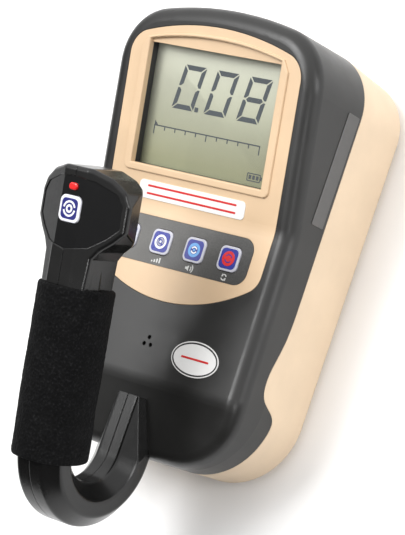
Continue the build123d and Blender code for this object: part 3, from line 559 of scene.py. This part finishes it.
def digit(shown, left):
    """The lit segments of one digit, named a to g, leaning to the right."""
    wide, high, thick, gap = DIGIT_WIDTH, DIGIT_HEIGHT, SEGMENT, DIGIT_GAP
    middle = high / 2
    half = thick / 2
    inner = thick + gap
    top = [(gap, high), (inner, high - thick), (wide - inner, high - thick), (wide - gap, high)]
    upper_left = [
        (0, high - gap), (0, middle + gap), (half, middle + gap), (thick, middle + half + gap),
        (thick, high - inner),
    ]
    bar = [
        (half + gap, middle), (inner, middle - half), (wide - inner, middle - half),
        (wide - half - gap, middle), (wide - inner, middle + half), (inner, middle + half),
    ]
    upper_right = mirrored(upper_left, wide)
    outlines = {
        "a": top,
        "b": upper_right,
        "c": upside_down(upper_right, high),
        "d": upside_down(top, high),
        "e": upside_down(upper_left, high),
        "f": upper_left,
        "g": bar,
    }
    return [[(left + x + SLANT * y, DIGIT_BASE + y) for x, y in outlines[key]] for key in shown]


digits = []
for left, shown in zip(DIGIT_LEFT, DIGIT_SEGMENTS):
    digits += digit(shown, left)
point = (DIGIT_LEFT[0] + DIGIT_WIDTH + POINT_STEP, DIGIT_BASE + POINT_WIDE / 2)
digits.append(rounded_box(POINT_WIDE, POINT_WIDE, 0.4, centre=point))
printed("lcd_digits", LCD, digits, LCD_PRINT, "segment", "case")

SCALE_LEFT, SCALE_RIGHT, SCALE_Y = -33.0, 26.8, -9.4
SCALE_LINE = 0.55
SCALE_STEPS = 10
END_TICK, MIDDLE_TICK, TICK = 3.9, 2.9, 1.8
scale = [stroke([(SCALE_LEFT, SCALE_Y), (SCALE_RIGHT, SCALE_Y)], SCALE_LINE)]
for step in range(SCALE_STEPS + 1):
    x = SCALE_LEFT + SCALE_LINE / 2 + (SCALE_RIGHT - SCALE_LEFT - SCALE_LINE) * step / SCALE_STEPS
    tick = {0: END_TICK, SCALE_STEPS // 2: MIDDLE_TICK, SCALE_STEPS: END_TICK}.get(step, TICK)
    scale.append(stroke([(x, SCALE_Y), (x, SCALE_Y - tick)], SCALE_LINE))
flag = SCALE_LEFT + 0.2
scale.append([(flag, SCALE_Y + 0.3), (flag + 2.0, SCALE_Y + 0.3), (flag, SCALE_Y + 2.2)])
printed("lcd_scale", LCD, scale, LCD_PRINT, "segment", "case")

BATTERY_X, BATTERY_Y = 26.0, -23.0
BATTERY_CELL_STEP = 2.0
BATTERY_TIP_STEP = 4.1
battery = [[rounded_box(7.4, 3.6, 0.5, centre=(BATTERY_X, BATTERY_Y)),
            rounded_box(6.5, 2.7, 0.3, centre=(BATTERY_X, BATTERY_Y))]]
for cell in (-1, 0, 1):
    centre = (BATTERY_X + BATTERY_CELL_STEP * cell, BATTERY_Y)
    battery.append(rounded_box(1.4, 1.8, 0.1, centre=centre))
battery.append(rounded_box(0.7, 1.6, 0.1, centre=(BATTERY_X + BATTERY_TIP_STEP, BATTERY_Y)))
printed("lcd_battery_sign", LCD, battery, LCD_PRINT, "segment", "case")

# ------------------------------------------------------------ keys and their pictograms
KEY_FIELD = 8.9
KEY_CORNER = 2.0
FIELD_PRINT = (0.0, 0.08)
MARK_LOW, MARK_HIGH, MARK_STEP = 0.05, 0.13, 0.03


def arc_pair(radius, start, sweep, width):
    """Two arcs of one ring, across from each other."""
    return [stroke(arc_points(radius, a, a + sweep), width) for a in (start, start + 180)]


key_marks = {
    "power_key": [("white", [[disc(2.9), disc(2.0)]])],
    "units_key": [
        ("white", [[disc(3.2), disc(2.2)]]),
        ("grey", arc_pair(1.45, start=-30, sweep=140, width=0.7)),
        ("white", [disc(0.55, steps=20)]),
    ],
    "audio_key": [
        ("pale_blue", [[disc(3.2), disc(1.9)]]),
        ("white", arc_pair(1.35, start=20, sweep=140, width=0.6)),
        ("pale_blue", [disc(0.6, steps=20)]),
    ],
    "mode_key": [
        ("red", [disc(3.3)]),
        ("blue", arc_pair(1.7, start=20, sweep=130, width=0.5)),
    ],
}
for key, marks in key_marks.items():
    face = top_frame(key, KEYPAD_LEAN)
    field = rounded_box(KEY_FIELD, KEY_FIELD, KEY_CORNER)
    printed(key + "_field", face, [field], FIELD_PRINT, "blue", key)
    for level, (ink, shapes) in enumerate(marks):
        heights = (MARK_LOW, MARK_HIGH + MARK_STEP * level)
        printed(f"{key}_mark_{level}", face, shapes, heights, ink, key)

OVERLAY = top_frame("keypad_overlay", KEYPAD_LEAN)
key_places = [top_frame(key, KEYPAD_LEAN) for key in key_marks]
key_x = [(OVERLAY.inverted() @ place.translation).x / MM for place in key_places]
SIGN_Y = -8.15
SIGN_LINE = 0.5
SIGN_PRINT = (0.0, 0.06)


def power_sign(x, y):
    """A broken ring with a short line in its gap."""
    ring = stroke(arc_points(1.05, 125, 415, centre=(x, y)), SIGN_LINE)
    return [ring, stroke([(x, y + 0.2), (x, y + 1.5)], SIGN_LINE)]


def bars_sign(x, y):
    """Four bars, each taller than the one before."""
    bars = []
    for i in range(4):
        bar_x = x - 2.1 + 1.4 * i
        bars.append(stroke([(bar_x, y - 1.1), (bar_x, y - 0.4 + 0.55 * i)], 0.8))
    return bars


def sound_sign(x, y):
    """A horn with two waves."""
    horn = [
        (x - 2.3, y - 0.5), (x - 1.5, y - 0.5), (x - 0.5, y - 1.3), (x - 0.5, y + 1.3),
        (x - 1.5, y + 0.5), (x - 2.3, y + 0.5),
    ]
    waves = [stroke(arc_points(r, -48, 48, centre=(x - 0.3, y)), SIGN_LINE) for r in (1.1, 2.1)]
    return [horn] + waves


def turn_sign(x, y):
    """Two arrows that chase each other, each an arc with a pointed head."""
    shapes = []
    for start in (20, 200):
        shapes.append(stroke(arc_points(1.25, start, start + 110, centre=(x, y)), SIGN_LINE))
        tip, left, right = (
            arc_points(radius, angle, angle, steps=1, centre=(x, y))[0]
            for radius, angle in ((1.25, start + 155), (0.55, start + 108), (1.95, start + 108))
        )
        shapes.append([right, tip, left])
    return shapes


signs = []
for x, sign in zip(key_x, (power_sign, bars_sign, sound_sign, turn_sign)):
    signs += sign(x, SIGN_Y)
printed("key_signs", OVERLAY, signs, SIGN_PRINT, "caption", "case")

# ------------------------------------------------------------ plain labels
NAME = top_frame("name_label", DISPLAY_LEAN)
OVAL = top_frame("oval_label", KEYPAD_LEAN)


def ellipse(half_wide, half_high):
    return [(half_wide * x, half_high * y) for x, y in disc(1.0, steps=72)]


LABEL_PRINT = (0.0, 0.05)
BAND_HIGH = 0.9
BAND_CORNER = 0.4
name_bands = [rounded_box(50, BAND_HIGH, BAND_CORNER, centre=(0, y)) for y in (-1.7, 1.7)]
oval_rim = [ellipse(12.2, 7.2), ellipse(11.5, 6.5)]
oval_band = rounded_box(15, BAND_HIGH, BAND_CORNER)
printed("name_label_bands", NAME, name_bands, LABEL_PRINT, "red", "case")
printed("oval_label_rim", OVAL, [oval_rim], LABEL_PRINT, "dark", "case")
printed("oval_label_band", OVAL, [oval_band], LABEL_PRINT, "red", "case")

# ------------------------------------------------------------ thumb button
BUTTON = top_frame("thumb_button", GRIP_LEAN)
BUTTON_MARK_HIGH = 0.13
button_layers = [
    ("deep_blue", [rounded_box(8.6, 8.6, 2.0)], FIELD_PRINT),
    ("white", arc_pair(2.95, start=15, sweep=158, width=0.85), (0.0, BUTTON_MARK_HIGH)),
    ("white", [[disc(1.75, steps=28), disc(0.85, steps=28)]], (0.0, BUTTON_MARK_HIGH)),
]
for level, (ink, shapes, heights) in enumerate(button_layers):
    name = f"button_mark_{level}"
    printed(name, BUTTON, shapes, heights, ink, "thumb_button")

# ------------------------------------------------------------ foam grip
# The handle tube inside the foam, in mm from the sleeve's axis: to its sides, to its outer and
# inner face, and to its cut corners, where the distances along both axes add up to CORNER_*.
TUBE_SIDE = 12.4
TUBE_OUTER, TUBE_INNER = 12.4, 6.4
CORNER_OUTER, CORNER_INNER = 19.0, 12.2
TINY = 1e-6

# The soft end of the sleeve, from its bore to its full radius: how far out, 0 at the bore and 1 at
# the full radius, and how far in from the end, in mm. It starts inside the bore.
END_PROFILE = (
    (0.0, 3.0), (0.0, 1.0), (0.12, 0.35), (0.3, 0.05), (0.55, 0.0), (0.72, 0.06),
    (0.86, 0.22), (0.944, 0.55), (0.9804, 1.05), (0.9958, 1.7), (1.0, 2.5),
)
SLEEVE_AROUND, SLEEVE_ALONG = 128, 110
BORE_SQUEEZE = 0.1 * MM
# Only the outside is uneven: broad swells, crumbs, and a little less than the full radius for both.
UNEVEN_FROM = 0.2
SWELL, SWELL_SCALE = 0.34 * MM, 55
CRUMB, CRUMB_SCALE = 0.16 * MM, 900
SHRINK = 0.2 * MM


def bore(turn):
    """Half the width of the handle tube in this direction from the sleeve's axis, in metres."""
    across, outward = abs(math.cos(turn)), math.sin(turn)
    face, corner = (TUBE_OUTER, CORNER_OUTER) if outward > 0 else (TUBE_INNER, CORNER_INNER)
    reach = [corner * MM / (across + abs(outward))]
    if across > TINY:
        reach.append(TUBE_SIDE * MM / across)
    if abs(outward) > TINY:
        reach.append(face * MM / abs(outward))
    return min(reach)


def foam_sleeve():
    """The foam sleeve: a full round tube with soft ends that close on the handle inside it."""
    low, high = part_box("foam_grip")
    up, out = lean_axes(GRIP_LEAN)
    points = [v.co for v in NODES["foam_grip"].data.vertices]
    lengthwise = [p.dot(up) for p in points]
    bottom, top = min(lengthwise), max(lengthwise)
    radius = (high[0] - low[0]) / 2
    axis_out = max(p.dot(out) for p in points) - radius
    mesh = bmesh.new()

    def ring(height, share):
        """Points round the axis at a height along it: share is 0 at the bore, 1 at full radius."""
        row = []
        for step in range(SLEEVE_AROUND):
            turn = 2 * math.pi * step / SLEEVE_AROUND
            inner = bore(turn) - BORE_SQUEEZE
            reach = inner + (radius - inner) * share
            place = up * height + out * (axis_out + reach * math.sin(turn))
            place.x += reach * math.cos(turn)
            if share > UNEVEN_FROM:
                swell = noise.fractal(place * SWELL_SCALE, 0.9, 2.1, 3) * SWELL * share
                crumb = noise.noise(place * CRUMB_SCALE) * CRUMB * share
                outward = out * math.sin(turn) + Vector((math.cos(turn), 0, 0))
                place += outward * (swell + crumb - SHRINK)
            row.append(mesh.verts.new(place))
        return row

    end_depth = END_PROFILE[-1][1] * MM
    body_low, body_high = bottom + end_depth, top - end_depth
    rows = [ring(bottom + depth * MM, share) for share, depth in END_PROFILE]
    for step in range(1, SLEEVE_ALONG):
        rows.append(ring(body_low + (body_high - body_low) * step / SLEEVE_ALONG, 1.0))
    rows += [ring(top - depth * MM, share) for share, depth in reversed(END_PROFILE)]
    for first, second in zip(rows, rows[1:] + rows[:1]):
        for step in range(SLEEVE_AROUND):
            after = (step + 1) % SLEEVE_AROUND
            mesh.faces.new((first[step], first[after], second[after], second[step]))
    bmesh.ops.recalc_face_normals(mesh, faces=mesh.faces)
    piece = add_piece("foam_sleeve", mesh, MATERIALS["foam"], "case")
    for face in piece.data.polygons:
        face.use_smooth = True
    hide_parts("foam_grip")


foam_sleeve()

# ------------------------------------------------------------ floor
FLOOR_HALF = 12
corners = [(FLOOR_HALF * x, FLOOR_HALF * y, 0) for x, y in ((-1, -1), (1, -1), (1, 1), (-1, 1))]
floor_mesh = bpy.data.meshes.new("floor")
floor_mesh.from_pydata(corners, [], [(0, 1, 2, 3)])
floor = bpy.data.objects.new("floor", floor_mesh)
scene.collection.objects.link(floor)
paper = Paint("floor_paper", (0.93, 0.93, 0.93), 0.9)
clouds = paper.remap(paper.noise(12, 3), *NOISE_SPAN)
paper.colour(paper.mix(clouds, (0.92, 0.92, 0.92), (0.94, 0.94, 0.94)))
floor.data.materials.append(paper.material)
